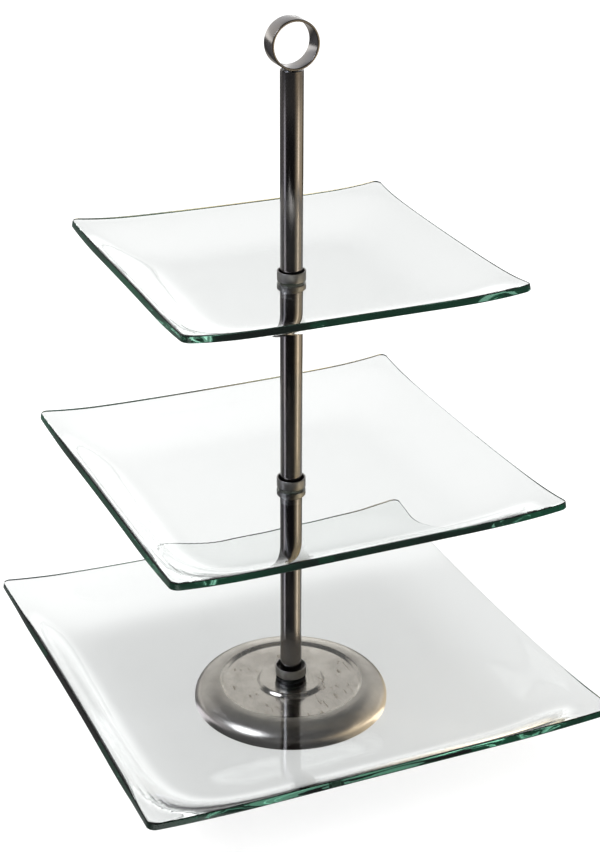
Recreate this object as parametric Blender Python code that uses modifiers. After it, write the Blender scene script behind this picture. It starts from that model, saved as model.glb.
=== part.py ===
"""Three-tier cake stand: slumped glass plates clamped on a screwed steel column.

The column stands on a round stamped base. Each tier is a square glass plate held
between a ferrule below and a cup collar above, on a threaded stud that joins one
tube to the next. A ring handle screws into the top tube.

Lengths are in metres. +Z is up, the column is the Z axis and the base rests on Z = 0.
"""

from math import atan2, cos, pi, radians, sin

import bpy
from mathutils import Matrix, Vector

# ---------------------------------------------------------------- driving dimensions

GAP = 0.0003  # clearance kept between faces that touch on the real stand

# Column
TUBE_R = 0.00655
TUBE_WALL = 0.0010
STUD_R = 0.0030
STUD_CHAMFER = 0.0004
STUD_GRIP = 0.0095  # stud length held in a tube's insert
INSERT_LENGTH = 0.0120

# Collars, ferrules and the soft washers recessed into them
# Dark gap between a tube and the cup it stands in, widest at the foot of the column
CUP_CLEARANCE = {"bottom": 0.00215, "middle": 0.00115, "top": 0.00085}
COLLAR_WALL = 0.0009
COLLAR_HEIGHT = 0.0058
COLLAR_EDGE = 0.00025
FERRULE_HEIGHT = 0.0042
FERRULE_CHAMFER = 0.0011
CLAMP_FLOOR = 0.0010  # thickness of the web between washer recess and tube seat
WASHER_INSET = 0.0017  # from the slimmest collar's outside in to the washers
WASHER_THICKNESS = 0.0006
SEAT_WASHER_INSET = 0.0004
SEAT_WASHER_THICKNESS = 0.0011

# Base, from the rim inwards
BASE_R = 0.0600
BASE_SHEET = 0.0012
BASE_RIM_LIFT = 0.0008
RIM_ROLL = 0.0022  # height of the upright foot of the domed rim
DOME_WIDTH = 0.0145
CREST_Z = 0.0134
STEP_WIDTH = 0.0040
STEP_DEPTH = 0.0014
BOSS_FOOT_R = 0.0215
BOSS_SLOPE_WIDTH = 0.0025
BOSS_PROUD = 0.0006  # how far the boss stands above the crest
SHOULDER_FALL = 0.0003  # drop of the softened shoulder and foot of the boss
WEIGHT_INSET = 0.0005
WEIGHT_EDGE = 0.0010
WEIGHT_BOTTOM_Z = 0.0019
COUNTERBORE_MARGIN = 0.0015  # round the clamp washer
COUNTERBORE_DEPTH = 0.0050
NUT_WALL = 0.0020  # from the stud to the nut's flats
NUT_HEIGHT = 0.0030
STEEL_WASHER_WALL = 0.0055
STEEL_WASHER_THICKNESS = 0.0012
PAD_INSET = 0.0050
PAD_HOLE_MARGIN = 0.0025
PAD_THICKNESS = 0.0015

# Glass
GLASS_THICKNESS = 0.0040
GLASS_HOLE_R = 0.0050
GLASS_ARRIS = 0.0005
CORNER_R = 0.0045
RIM_WIDTH = 0.0550  # of the band round the flat middle in which the glass rises
RIM_POWER = 4.0  # how late in the band the rise begins
DISH_SQUARENESS = 7.0  # power of the rounded squares that the dish's contours follow

# Handle
HANDLE_R = 0.0140
HANDLE_WALL = 0.0014
HANDLE_WIDTH = 0.0120

# Tiers, bottom to top: half side, rim lift at mid-edge, rim lift at a corner,
# inward bow of an edge, turn on the column, height of the middle above the floor
TIER_NAMES = ("bottom", "middle", "top")
PLATE_HALF = {"bottom": 0.1437, "middle": 0.1187, "top": 0.0995}
EDGE_LIFT = {"bottom": 0.0209, "middle": 0.0181, "top": 0.0158}
CORNER_LIFT = {"bottom": 0.0239, "middle": 0.0211, "top": 0.0186}
EDGE_BOW = {"bottom": 0.0033, "middle": 0.0017, "top": 0.0013}
PLATE_TURN = {"bottom": radians(0.9), "middle": radians(1.0), "top": 0.0}
LOWER_TUBE_LENGTH = 0.1215
MIDDLE_TUBE_LENGTH = 0.1215
UPPER_TUBE_LENGTH = 0.1190

# Facets round a turned piece
FINE = 40
ROUND = 24
HIDDEN = 16
RIM_POINTS_PER_EDGE = 5
RIM_POINTS_PER_CORNER = 2
DISH_RINGS = 7
DOME_POINTS = 6

# ---------------------------------------------------------------- heights that follow

COLLAR_R = {tier: TUBE_R + CUP_CLEARANCE[tier] + COLLAR_WALL for tier in TIER_NAMES}
WASHER_R = min(COLLAR_R.values()) - WASHER_INSET
SEAT_WASHER_R = COLLAR_R["bottom"] - SEAT_WASHER_INSET
TUBE_BORE_R = TUBE_R - TUBE_WALL
INSERT_R = TUBE_BORE_R - GAP
STUD_HOLE_R = STUD_R + GAP
BUSH_R = GLASS_HOLE_R - GAP
RECESS_R = WASHER_R + GAP
RECESS_DEPTH = WASHER_THICKNESS + GAP

BASE_CREST_R = BASE_R - DOME_WIDTH
BASE_STEP_R = BASE_CREST_R - STEP_WIDTH
BASE_FLAT_Z = CREST_Z - STEP_DEPTH
BOSS_TOP_R = BOSS_FOOT_R - BOSS_SLOPE_WIDTH
BOSS_TOP_Z = CREST_Z + BOSS_PROUD
WEIGHT_R = BASE_STEP_R - WEIGHT_INSET
STEEL_WASHER_R = STUD_R + STEEL_WASHER_WALL
COUNTERBORE_R = STEEL_WASHER_R + COUNTERBORE_MARGIN
PAD_R = BASE_R - PAD_INSET
PAD_HOLE_R = COUNTERBORE_R + PAD_HOLE_MARGIN

# The bottom plate stands on the seat washer, and each joint stacks up from its glass.
SEAT_WASHER_Z = BOSS_TOP_Z + GAP
BOTTOM_GLASS_Z = SEAT_WASHER_Z + SEAT_WASHER_THICKNESS + GAP + GLASS_THICKNESS
TUBE_ABOVE_GLASS = GAP + RECESS_DEPTH + CLAMP_FLOOR + GAP
TUBE_BELOW_GLASS = GLASS_THICKNESS + GAP + RECESS_DEPTH + CLAMP_FLOOR + GAP

GLASS_Z = {"bottom": BOTTOM_GLASS_Z}
GLASS_Z["middle"] = GLASS_Z["bottom"] + TUBE_ABOVE_GLASS + LOWER_TUBE_LENGTH + TUBE_BELOW_GLASS
GLASS_Z["top"] = GLASS_Z["middle"] + TUBE_ABOVE_GLASS + MIDDLE_TUBE_LENGTH + TUBE_BELOW_GLASS

TUBE_LENGTH = {
    "bottom": LOWER_TUBE_LENGTH,
    "middle": MIDDLE_TUBE_LENGTH,
    "top": UPPER_TUBE_LENGTH,
}
TUBE_NAMES = {"bottom": "lower_tube", "middle": "middle_tube", "top": "upper_tube"}
TUBE_Z = {tier: GLASS_Z[tier] + TUBE_ABOVE_GLASS for tier in TIER_NAMES}
COLUMN_TOP_Z = TUBE_Z["top"] + TUBE_LENGTH["top"]
HANDLE_Z = COLUMN_TOP_Z + GAP + HANDLE_R


# ---------------------------------------------------------------- scene and materials


def clear_scene():
    """Remove every object that the file opened with."""
    for stale in list(bpy.data.objects):
        bpy.data.objects.remove(stale, do_unlink=True)


def collection(name):
    """Return a new collection linked to the scene."""
    made = bpy.data.collections.new(name)
    bpy.context.scene.collection.children.link(made)
    return made


def material(name, colour, roughness, metallic=0.0, transmission=0.0):
    """Return a Principled material."""
    made = bpy.data.materials.new(name)
    made.use_nodes = True
    shader = made.node_tree.nodes["Principled BSDF"]
    shader.inputs["Base Color"].default_value = (*colour, 1.0)
    shader.inputs["Roughness"].default_value = roughness
    shader.inputs["Metallic"].default_value = metallic
    shader.inputs["Transmission Weight"].default_value = transmission
    return made


def add_object(name, mesh, finish, group):
    """Link a mesh object that wears one material."""
    mesh.materials.append(finish)
    made = bpy.data.objects.new(name, mesh)
    group.objects.link(made)
    return made


# ---------------------------------------------------------------- modelling helpers


def ring_section(inner, outer, low, high):
    """Return the corners of a plain washer's section, down the outer side first."""
    return [(outer, high), (outer, low), (inner, low), (inner, high)]


def turned(name, section, finish, group, steps=ROUND, closed=True):
    """Turn a section of (radius, height) points about Z into a solid.

    A closed section makes a ring. An open one starts and ends on the axis.
    """
    mesh = bpy.data.meshes.new(name)
    points = [(radius, 0.0, height) for radius, height in section]
    edges = [(i, i + 1) for i in range(len(points) - 1)]
    if closed:
        edges.append((len(points) - 1, 0))
    mesh.from_pydata(points, edges, [])
    made = add_object(name, mesh, finish, group)
    screw = made.modifiers.new("Turn", "SCREW")
    screw.steps = steps
    screw.render_steps = steps
    screw.use_merge_vertices = True
    screw.merge_threshold = 0.00001
    screw.use_smooth_shade = True
    return made


def rod(name, radius, low, high, edge, finish, group, steps=HIDDEN):
    """Turn a solid rod with chamfered ends."""
    section = [
        (0.0, high),
        (radius - edge, high),
        (radius, high - edge),
        (radius, low + edge),
        (radius - edge, low),
        (0.0, low),
    ]
    return turned(name, section, finish, group, steps, closed=False)


def arc(centre_r, centre_z, radius_r, radius_z, start, end, count):
    """Return points along an elliptical arc in a section, both ends included."""
    points = []
    for i in range(count + 1):
        angle = start + (end - start) * i / count
        points.append((centre_r + radius_r * cos(angle), centre_z + radius_z * sin(angle)))
    return points


# ---------------------------------------------------------------- base


def base_outer_section():
    """Return the base's upper side from the stud hole out to the rim."""
    rim_centre_z = BASE_RIM_LIFT + RIM_ROLL
    shoulder = BOSS_SLOPE_WIDTH / 4
    step_blend = STEP_WIDTH / 3
    section = [
        (STUD_HOLE_R, BOSS_TOP_Z),
        (BOSS_TOP_R, BOSS_TOP_Z),
        (BOSS_TOP_R + shoulder, BOSS_TOP_Z - SHOULDER_FALL),
        (BOSS_FOOT_R - shoulder, BASE_FLAT_Z + SHOULDER_FALL),
        (BOSS_FOOT_R, BASE_FLAT_Z),
        (BASE_STEP_R, BASE_FLAT_Z),
        (BASE_STEP_R + step_blend, BASE_FLAT_Z + STEP_DEPTH / 2),
    ]
    dome = arc(
        BASE_CREST_R, rim_centre_z, DOME_WIDTH, CREST_Z - rim_centre_z,
        0.5 * pi, 0.0, DOME_POINTS,
    )
    return section + dome + [(BASE_R, BASE_RIM_LIFT)]


def offset_section(section, distance):
    """Return a section moved square to itself, to the right of its direction."""
    moved = []
    for i, (r, z) in enumerate(section):
        before = section[max(i - 1, 0)]
        after = section[min(i + 1, len(section) - 1)]
        along = Vector((after[0] - before[0], after[1] - before[1])).normalized()
        moved.append((r + distance * along.y, z - distance * along.x))
    return moved


def make_base_shell(finish, group):
    """Stamp the sheet-metal base: domed rim, step, recessed flat and centre boss."""
    upper = base_outer_section()
    lower = offset_section(upper, BASE_SHEET)
    lower[0] = (STUD_HOLE_R, BOSS_TOP_Z - BASE_SHEET)
    lower[-1] = (BASE_R - BASE_SHEET, BASE_RIM_LIFT)
    return turned("base_shell", upper + lower[::-1], finish, group, FINE)


def make_base_weight(finish, group):
    """Turn the cast disc under the shell, counterbored for the nut."""
    top = BASE_FLAT_Z - BASE_SHEET - GAP
    counterbore_top = WEIGHT_BOTTOM_Z + COUNTERBORE_DEPTH
    section = [
        (WEIGHT_R - WEIGHT_EDGE, top),
        (WEIGHT_R, top - WEIGHT_EDGE),
        (WEIGHT_R, WEIGHT_BOTTOM_Z),
        (COUNTERBORE_R, WEIGHT_BOTTOM_Z),
        (COUNTERBORE_R, counterbore_top),
        (STUD_HOLE_R, counterbore_top),
        (STUD_HOLE_R, top),
    ]
    return turned("base_weight", section, finish, group, ROUND)


def make_base_nut(finish, group, cutters, high):
    """Cut a hexagon nut that ends at the given height."""
    low = high - NUT_HEIGHT
    outer_r = (STUD_R + NUT_WALL) / cos(radians(30))
    bpy.ops.mesh.primitive_cylinder_add(
        vertices=6, radius=outer_r, depth=NUT_HEIGHT, location=(0, 0, (low + high) / 2)
    )
    nut = bpy.context.object
    nut.name = "base_nut"
    nut.data.materials.append(finish)
    move_to(nut, group)
    bpy.ops.mesh.primitive_cylinder_add(
        vertices=HIDDEN, radius=STUD_HOLE_R, depth=3 * NUT_HEIGHT, location=(0, 0, (low + high) / 2)
    )
    bore = bpy.context.object
    bore.name = "nut_bore"
    move_to(bore, cutters)
    cut = nut.modifiers.new("Bore", "BOOLEAN")
    cut.operation = "DIFFERENCE"
    cut.solver = "EXACT"
    cut.object = bore
    return nut


def move_to(made, group):
    """Put an operator-made object in one collection only."""
    for owner in list(made.users_collection):
        owner.objects.unlink(made)
    group.objects.link(made)
    if group.name == "cutters":
        made.hide_render = True
        made.display_type = "WIRE"


def make_base(finishes, group, cutters):
    """Build the base, its weight, the pad under it and what clamps them."""
    make_base_shell(finishes["nickel"], group)
    make_base_weight(finishes["iron"], group)
    pad = ring_section(PAD_HOLE_R, PAD_R, 0.0, PAD_THICKNESS)
    turned("base_pad", pad, finishes["felt"], group, ROUND)
    washer_top = WEIGHT_BOTTOM_Z + COUNTERBORE_DEPTH - GAP
    washer_low = washer_top - STEEL_WASHER_THICKNESS
    washer = ring_section(STUD_HOLE_R, STEEL_WASHER_R, washer_low, washer_top)
    turned("base_clamp_washer", washer, finishes["zinc"], group, HIDDEN)
    make_base_nut(finishes["zinc"], group, cutters, washer_low - GAP)
    seat = ring_section(
        STUD_HOLE_R, SEAT_WASHER_R, SEAT_WASHER_Z, SEAT_WASHER_Z + SEAT_WASHER_THICKNESS
    )
    turned("base_seat_washer", seat, finishes["rubber"], group)


# ---------------------------------------------------------------- glass plates


def quarter_outline(half, bow):
    """Return one mid-edge to mid-edge run of a plate's outline round its corner."""
    reach = half - CORNER_R
    run = []
    for i in range(RIM_POINTS_PER_EDGE):
        along = reach * i / RIM_POINTS_PER_EDGE
        run.append((half - bow * (1 - (along / reach) ** 2), along))
    corner = []
    for i in range(RIM_POINTS_PER_CORNER + 1):
        turn = 0.5 * pi * i / RIM_POINTS_PER_CORNER
        corner.append((reach + CORNER_R * cos(turn), reach + CORNER_R * sin(turn)))
    mirrored = [(y, x) for x, y in reversed(run[1:])]
    return run + corner + mirrored


def plate_outline(half, bow):
    """Return the whole outline, counterclockwise, as (x, y) points."""
    points = []
    for c, s in ((1, 0), (0, 1), (-1, 0), (0, -1)):
        points += [(c * x - s * y, s * x + c * y) for x, y in quarter_outline(half, bow)]
    return points


def dish_height(x, y, half, edge_lift, corner_lift):
    """Return how far the glass has risen above its flat middle at a point."""
    power = DISH_SQUARENESS
    reach = ((abs(x) / half) ** power + (abs(y) / half) ** power) ** (1 / power)
    corner_reach = 2 ** (1 / power)
    rim_slope = (corner_lift - edge_lift) / (corner_reach - 1)
    if reach >= 1:
        return edge_lift + rim_slope * (reach - 1)
    width = RIM_WIDTH / half
    climb = max(0.0, 1 - (1 - reach) / width)
    swell = RIM_POWER - rim_slope * width / edge_lift
    return edge_lift * climb**RIM_POWER * (1 + swell * (1 - climb))


def make_plate(tier, finish, group):
    """Loft a glass plate from its round hole to its square rim."""
    half = PLATE_HALF[tier]
    top_z = GLASS_Z[tier]
    outline = plate_outline(half, EDGE_BOW[tier])
    count = len(outline)
    hole_share = GLASS_HOLE_R / half
    shares = [hole_share]
    flat_share = 1 - RIM_WIDTH / half
    for ring in range(DISH_RINGS):
        shares.append(flat_share + (1 - flat_share) * ring / (DISH_RINGS - 1))
    points = []
    for share in shares:
        square = (share - hole_share) / (1 - hole_share)
        for x, y in outline:
            angle = atan2(y, x)
            px = share * ((1 - square) * half * cos(angle) + square * x)
            py = share * ((1 - square) * half * sin(angle) + square * y)
            rise = dish_height(px, py, half, EDGE_LIFT[tier], CORNER_LIFT[tier])
            points.append((px, py, rise))
    faces = []
    for ring in range(len(shares) - 1):
        for i in range(count):
            after = (i + 1) % count
            a, b = ring * count + i, ring * count + after
            faces.append((a, a + count, b + count, b))
    mesh = bpy.data.meshes.new("glass_plate_" + tier)
    mesh.from_pydata(points, [], faces)
    mesh.shade_smooth()
    made = add_object("glass_plate_" + tier, mesh, finish, group)
    made.location = (0.0, 0.0, top_z)
    made.rotation_euler = (0.0, 0.0, PLATE_TURN[tier])
    sheet = made.modifiers.new("Thickness", "SOLIDIFY")
    sheet.thickness = GLASS_THICKNESS
    sheet.offset = -1.0
    sheet.use_even_offset = True
    arris = made.modifiers.new("Arris", "BEVEL")
    arris.width = GLASS_ARRIS
    arris.segments = 1
    arris.limit_method = "ANGLE"
    arris.angle_limit = radians(60)
    return made


# ---------------------------------------------------------------- joints of the column


def make_collar(tier, finish, group):
    """Turn the cup above a plate: a tube seat above, a washer recess below."""
    low = GLASS_Z[tier] + GAP
    high = low + COLLAR_HEIGHT
    seat = low + RECESS_DEPTH + CLAMP_FLOOR
    outer_r = COLLAR_R[tier]
    cup_r = outer_r - COLLAR_WALL
    section = [
        (outer_r - COLLAR_EDGE, high),
        (outer_r, high - COLLAR_EDGE),
        (outer_r, low + COLLAR_EDGE),
        (outer_r - COLLAR_EDGE, low),
        (RECESS_R, low),
        (RECESS_R, low + RECESS_DEPTH),
        (STUD_HOLE_R, low + RECESS_DEPTH),
        (STUD_HOLE_R, seat),
        (cup_r, seat),
        (cup_r, high),
    ]
    return turned("collar_" + tier, section, finish, group)


def make_ferrule(tier, finish, group):
    """Turn the ferrule below a plate: a washer recess above, a tube seat below."""
    high = GLASS_Z[tier] - GLASS_THICKNESS - GAP
    low = high - FERRULE_HEIGHT
    seat = high - RECESS_DEPTH - CLAMP_FLOOR
    outer_r = COLLAR_R[tier]
    tube_seat_r = TUBE_R + GAP
    section = [
        (outer_r - COLLAR_EDGE, high),
        (outer_r, high - COLLAR_EDGE),
        (outer_r, low + FERRULE_CHAMFER),
        (outer_r - FERRULE_CHAMFER, low),
        (tube_seat_r, low),
        (tube_seat_r, seat),
        (STUD_HOLE_R, seat),
        (STUD_HOLE_R, high - RECESS_DEPTH),
        (RECESS_R, high - RECESS_DEPTH),
        (RECESS_R, high),
    ]
    return turned("ferrule_" + tier, section, finish, group)


def make_joint(tier, finishes, group):
    """Build what clamps one plate: bush, washers, collar, ferrule and stud."""
    top = GLASS_Z[tier]
    under = top - GLASS_THICKNESS
    bush = ring_section(STUD_HOLE_R, BUSH_R, under + GAP, top - GAP)
    turned("bush_" + tier, bush, finishes["nylon"], group, HIDDEN)
    upper = ring_section(STUD_HOLE_R, WASHER_R, top + GAP, top + GAP + WASHER_THICKNESS)
    turned("upper_washer_" + tier, upper, finishes["nylon"], group, HIDDEN)
    make_collar(tier, finishes["collar"], group)
    stud_high = TUBE_Z[tier] + STUD_GRIP
    if tier == "bottom":
        stud_low = WEIGHT_BOTTOM_Z
    else:
        lower = ring_section(STUD_HOLE_R, WASHER_R, under - GAP - WASHER_THICKNESS, under - GAP)
        turned("lower_washer_" + tier, lower, finishes["nylon"], group, HIDDEN)
        make_ferrule(tier, finishes["collar"], group)
        stud_low = top - TUBE_BELOW_GLASS - STUD_GRIP
    rod("stud_" + tier, STUD_R, stud_low, stud_high, STUD_CHAMFER, finishes["zinc"], group)


def make_tube(tier, finishes, group):
    """Turn one tube and the threaded insert at each of its ends."""
    name = TUBE_NAMES[tier]
    low = TUBE_Z[tier]
    high = low + TUBE_LENGTH[tier]
    turned(name, ring_section(TUBE_BORE_R, TUBE_R, low, high), finishes["gunmetal"], group)
    ends = {"lower": low, "upper": high - INSERT_LENGTH}
    for end, start in ends.items():
        insert = ring_section(STUD_HOLE_R, INSERT_R, start, start + INSERT_LENGTH)
        turned(name + "_" + end + "_insert", insert, finishes["zinc"], group, HIDDEN)


# ---------------------------------------------------------------- handle


def make_handle(finishes, group):
    """Build the ring handle and the stud that screws it into the top tube."""
    ring = ring_section(
        HANDLE_R - HANDLE_WALL, HANDLE_R, -HANDLE_WIDTH / 2, HANDLE_WIDTH / 2
    )
    band = turned("handle_ring", ring, finishes["gunmetal"], group, FINE)
    band.matrix_world = Matrix.Translation((0, 0, HANDLE_Z)) @ Matrix.Rotation(pi / 2, 4, "X")
    rod(
        "handle_stud", STUD_R, COLUMN_TOP_Z - STUD_GRIP, COLUMN_TOP_Z - GAP, STUD_CHAMFER,
        finishes["zinc"], group,
    )


def main():
    """Build every piece of the stand."""
    clear_scene()
    stand = collection("tiered_cake_stand")
    cutters = collection("cutters")
    finishes = {
        "nickel": material("satin_nickel", (0.46, 0.43, 0.40), 0.30, 1.0),
        "gunmetal": material("brushed_gunmetal", (0.20, 0.19, 0.18), 0.28, 1.0),
        "collar": material("bead_blasted_nickel", (0.30, 0.29, 0.27), 0.42, 1.0),
        "zinc": material("zinc_plate", (0.60, 0.60, 0.58), 0.35, 1.0),
        "iron": material("cast_iron", (0.09, 0.09, 0.09), 0.75, 0.6),
        "felt": material("black_felt", (0.02, 0.02, 0.02), 0.95),
        "rubber": material("black_rubber", (0.03, 0.03, 0.03), 0.60),
        "nylon": material("clear_nylon", (0.75, 0.75, 0.72), 0.40),
        "glass": material("green_edged_glass", (0.82, 0.93, 0.88), 0.02, 0.0, 1.0),
    }
    make_base(finishes, stand, cutters)
    for tier in TIER_NAMES:
        make_plate(tier, finishes["glass"], stand)
        make_joint(tier, finishes, stand)
        make_tube(tier, finishes, stand)
    make_handle(finishes, stand)


main()
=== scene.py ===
"""A three-tier glass cake stand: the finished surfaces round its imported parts.

Each sub-assembly is a class that holds its own sizes and builds, dresses and places its
pieces. Lengths are in metres, +Z is up and the column stands on the Z axis.
"""

import logging
import math
from dataclasses import dataclass
from enum import Enum
from typing import Any, Union

import bmesh
import bpy
from mathutils import Matrix, Vector


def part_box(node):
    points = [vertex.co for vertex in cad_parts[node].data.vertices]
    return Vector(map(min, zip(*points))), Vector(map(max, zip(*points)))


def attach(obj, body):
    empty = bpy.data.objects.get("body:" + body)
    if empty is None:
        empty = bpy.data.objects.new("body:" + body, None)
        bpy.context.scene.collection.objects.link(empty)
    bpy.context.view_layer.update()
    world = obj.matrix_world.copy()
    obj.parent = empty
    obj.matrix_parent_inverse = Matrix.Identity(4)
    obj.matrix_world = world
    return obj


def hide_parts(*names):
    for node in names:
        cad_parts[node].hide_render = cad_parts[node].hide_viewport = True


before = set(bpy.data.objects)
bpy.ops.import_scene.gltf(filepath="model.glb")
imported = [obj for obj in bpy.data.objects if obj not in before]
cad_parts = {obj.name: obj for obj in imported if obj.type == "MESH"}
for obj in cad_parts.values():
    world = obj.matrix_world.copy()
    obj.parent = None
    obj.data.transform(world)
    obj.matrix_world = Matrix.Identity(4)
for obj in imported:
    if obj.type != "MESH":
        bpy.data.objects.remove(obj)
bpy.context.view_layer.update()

log = logging.getLogger("cake_stand")

GAP = 0.0003  # clearance between faces that touch
STUD_R = 0.0030
BORE_R = STUD_R + GAP  # a hole that a stud passes through
SAME = 1e-6  # lengths closer than this are the same
SMOOTH_ANGLE = math.radians(32)
EDGE = "edge"  # the attribute that is 1 on the cut edge of a plate

Piece = bpy.types.Object
Colour = tuple[float, float, float]
Section = list[tuple[float, float]]
Feed = Union["Wire", float, tuple, bpy.types.NodeSocket]


class Tier(Enum):
    """The three plates, bottom to top."""

    BOTTOM = "bottom"
    MIDDLE = "middle"
    TOP = "top"

    @property
    def body(self) -> str:
        """Return the name of the body that turns with this plate."""
        return f"{self.value}_plate"


class Slot(Enum):
    """The record's material slots."""

    GLASS = "glass"
    GUNMETAL = "gunmetal"
    BLASTED = "blasted_nickel"
    SATIN = "satin_nickel"
    ZINC = "zinc"
    IRON = "cast_iron"
    FELT = "felt"
    RUBBER = "rubber"
    NYLON = "nylon"


# -------- shader maths


class Wire:
    """A socket that takes part in arithmetic and adds the Math nodes it needs."""

    def __init__(self, net: "Net", socket: bpy.types.NodeSocket) -> None:
        """Keep the net and the output socket."""
        self.net = net
        self.socket = socket

    def _math(self, operation: str, *values: Feed) -> "Wire":
        """Return the output of one Math node on the given values."""
        return self.net.wire("ShaderNodeMath", {"operation": operation}, dict(enumerate(values)))

    def __add__(self, other: Feed) -> "Wire":
        """Add."""
        return self._math("ADD", self, other)

    def __radd__(self, other: Feed) -> "Wire":
        """Add from the right."""
        return self._math("ADD", other, self)

    def __sub__(self, other: Feed) -> "Wire":
        """Subtract."""
        return self._math("SUBTRACT", self, other)

    def __rsub__(self, other: Feed) -> "Wire":
        """Subtract from a value on the left."""
        return self._math("SUBTRACT", other, self)

    def __mul__(self, other: Feed) -> "Wire":
        """Multiply."""
        return self._math("MULTIPLY", self, other)

    def __rmul__(self, other: Feed) -> "Wire":
        """Multiply from the right."""
        return self._math("MULTIPLY", other, self)

    def __truediv__(self, other: Feed) -> "Wire":
        """Divide."""
        return self._math("DIVIDE", self, other)

    def __rtruediv__(self, other: Feed) -> "Wire":
        """Divide a value on the left by this."""
        return self._math("DIVIDE", other, self)

    def __gt__(self, other: Feed) -> "Wire":
        """Return 1 where this is the greater."""
        return self._math("GREATER_THAN", self, other)

    def __abs__(self) -> "Wire":
        """Drop the sign."""
        return self._math("ABSOLUTE", self)

    def root(self) -> "Wire":
        """Return the square root."""
        return self._math("SQRT", self)

    def angle_from(self, other: Feed) -> "Wire":
        """Return the angle whose tangent is this over the other."""
        return self._math("ARCTAN2", self, other)

    def step(self, low: float, high: float) -> "Wire":
        """Rise smoothly from 0 to 1, or fall from 1 to 0 if high is the lower.

        Args:
            low: Where the rise starts, or the fall ends.
            high: Where the rise ends, or the fall starts.

        Returns:
            The rise or fall, as a wire.
        """
        ends = (low, high, 0.0, 1.0) if low < high else (high, low, 1.0, 0.0)
        inputs = dict(zip(("From Min", "From Max", "To Min", "To Max"), ends))
        settings = {"interpolation_type": "SMOOTHSTEP"}
        return self.net.wire("ShaderNodeMapRange", settings, {"Value": self, **inputs})


class Net:
    """The node tree of one material or world."""

    def __init__(self, owner: Any) -> None:
        """Clear the owner's node tree and keep it.

        Args:
            owner: A material or a world.
        """
        owner.use_nodes = True
        self.tree = owner.node_tree
        self.tree.nodes.clear()

    def node(self, kind: str, settings: dict | None = None, inputs: dict | None = None) -> Any:
        """Add a node, make its settings and then feed its sockets.

        Args:
            kind: The node's type.
            settings: The node's attributes, which are set first.
            inputs: A value, wire or socket for each input, by name or number.

        Returns:
            The node.
        """
        made = self.tree.nodes.new(kind)
        for key, value in (settings or {}).items():
            setattr(made, key, value)
        for key, value in (inputs or {}).items():
            if isinstance(value, Wire):
                value = value.socket
            if isinstance(value, bpy.types.NodeSocket):
                self.tree.links.new(value, made.inputs[key])
            else:
                made.inputs[key].default_value = value
        return made

    def wire(
        self, kind: str, settings: dict | None = None, inputs: dict | None = None, output: Any = 0
    ) -> Wire:
        """Add a node and return one of its outputs as a wire.

        Args:
            kind: As for node.
            settings: As for node.
            inputs: As for node.
            output: The output's name or number.

        Returns:
            The wire.
        """
        return Wire(self, self.node(kind, settings, inputs).outputs[output])

    def place(self, scale: Colour = (1.0, 1.0, 1.0), turn: Colour = (0.0, 0.0, 0.0)) -> Wire:
        """Give the object's own coordinates, turned and then stretched.

        Args:
            scale: The stretch along each axis.
            turn: The turn about each axis.

        Returns:
            The coordinates, as a wire.
        """
        own = self.wire("ShaderNodeTexCoord", output="Object")
        values = {"Vector": own, "Rotation": turn, "Scale": scale}
        return self.wire("ShaderNodeMapping", None, values)

    def dot(self, first: Feed, second: Feed) -> Wire:
        """Return the dot product of two vectors."""
        settings = {"operation": "DOT_PRODUCT"}
        return self.wire("ShaderNodeVectorMath", settings, {0: first, 1: second}, "Value")

    def axes(self, vector: Wire) -> tuple[Wire, Wire, Wire]:
        """Return the three parts of a vector."""
        node = self.node("ShaderNodeSeparateXYZ", None, {0: vector})
        return tuple(Wire(self, socket) for socket in node.outputs)

    def noise(self, vector: Wire, scale: float, detail: float = 2.0, rough: float = 0.5) -> Wire:
        """Return fractal noise from about 0 to 1."""
        values = {"Vector": vector, "Scale": scale, "Detail": detail, "Roughness": rough}
        return self.wire("ShaderNodeTexNoise", None, values)

    def blend(self, share: Feed, first: Feed, second: Feed) -> Wire:
        """Return a mix of two colours, which are the node's inputs 6 and 7."""
        inputs = {"Factor": share, 6: self._rgba(first), 7: self._rgba(second)}
        return self.wire("ShaderNodeMix", {"data_type": "RGBA"}, inputs, "Result")

    @staticmethod
    def _rgba(colour: Feed) -> Feed:
        """Add full alpha to a plain colour and leave a wire as it is."""
        return (*colour, 1.0) if isinstance(colour, tuple) and len(colour) == 3 else colour

    def bump(self, height: Feed, distance: float, strength: float = 1.0) -> Wire:
        """Return the normal of a surface raised by a height from 0 to 1."""
        values = {"Height": height, "Distance": distance, "Strength": strength}
        return self.wire("ShaderNodeBump", None, values)

    def combine(self, x: Feed, y: Feed, z: Feed) -> Wire:
        """Return a vector made of three numbers."""
        return self.wire("ShaderNodeCombineXYZ", None, {0: x, 1: y, 2: z})

    def polar(self) -> tuple[Wire, Wire, Wire]:
        """Return the distance from the Z axis, the angle round it and the height."""
        x, y, z = self.axes(self.place())
        return (x * x + y * y).root(), y.angle_from(x), z

    def surface(
        self, inputs: dict, settings: dict | None = None, volume: Wire | None = None
    ) -> None:
        """Add a Principled shader and join it to the material's output.

        Args:
            inputs: The shader's inputs.
            settings: The shader's settings.
            volume: What fills the solid, if anything does.
        """
        ends = {"Surface": self.wire("ShaderNodeBsdfPrincipled", settings, inputs)}
        if volume is not None:
            ends["Volume"] = volume
        self.node("ShaderNodeOutputMaterial", None, ends)

    def coat(self, colour: Wire, rough: Wire, normal: Wire, **fixed: float) -> None:
        """Add an opaque surface, with fixed inputs named in lower case."""
        inputs = {name.replace("_", " ").title(): value for name, value in fixed.items()}
        self.surface({"Base Color": colour, "Roughness": rough, "Normal": normal, **inputs})


# -------- finishes


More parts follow.
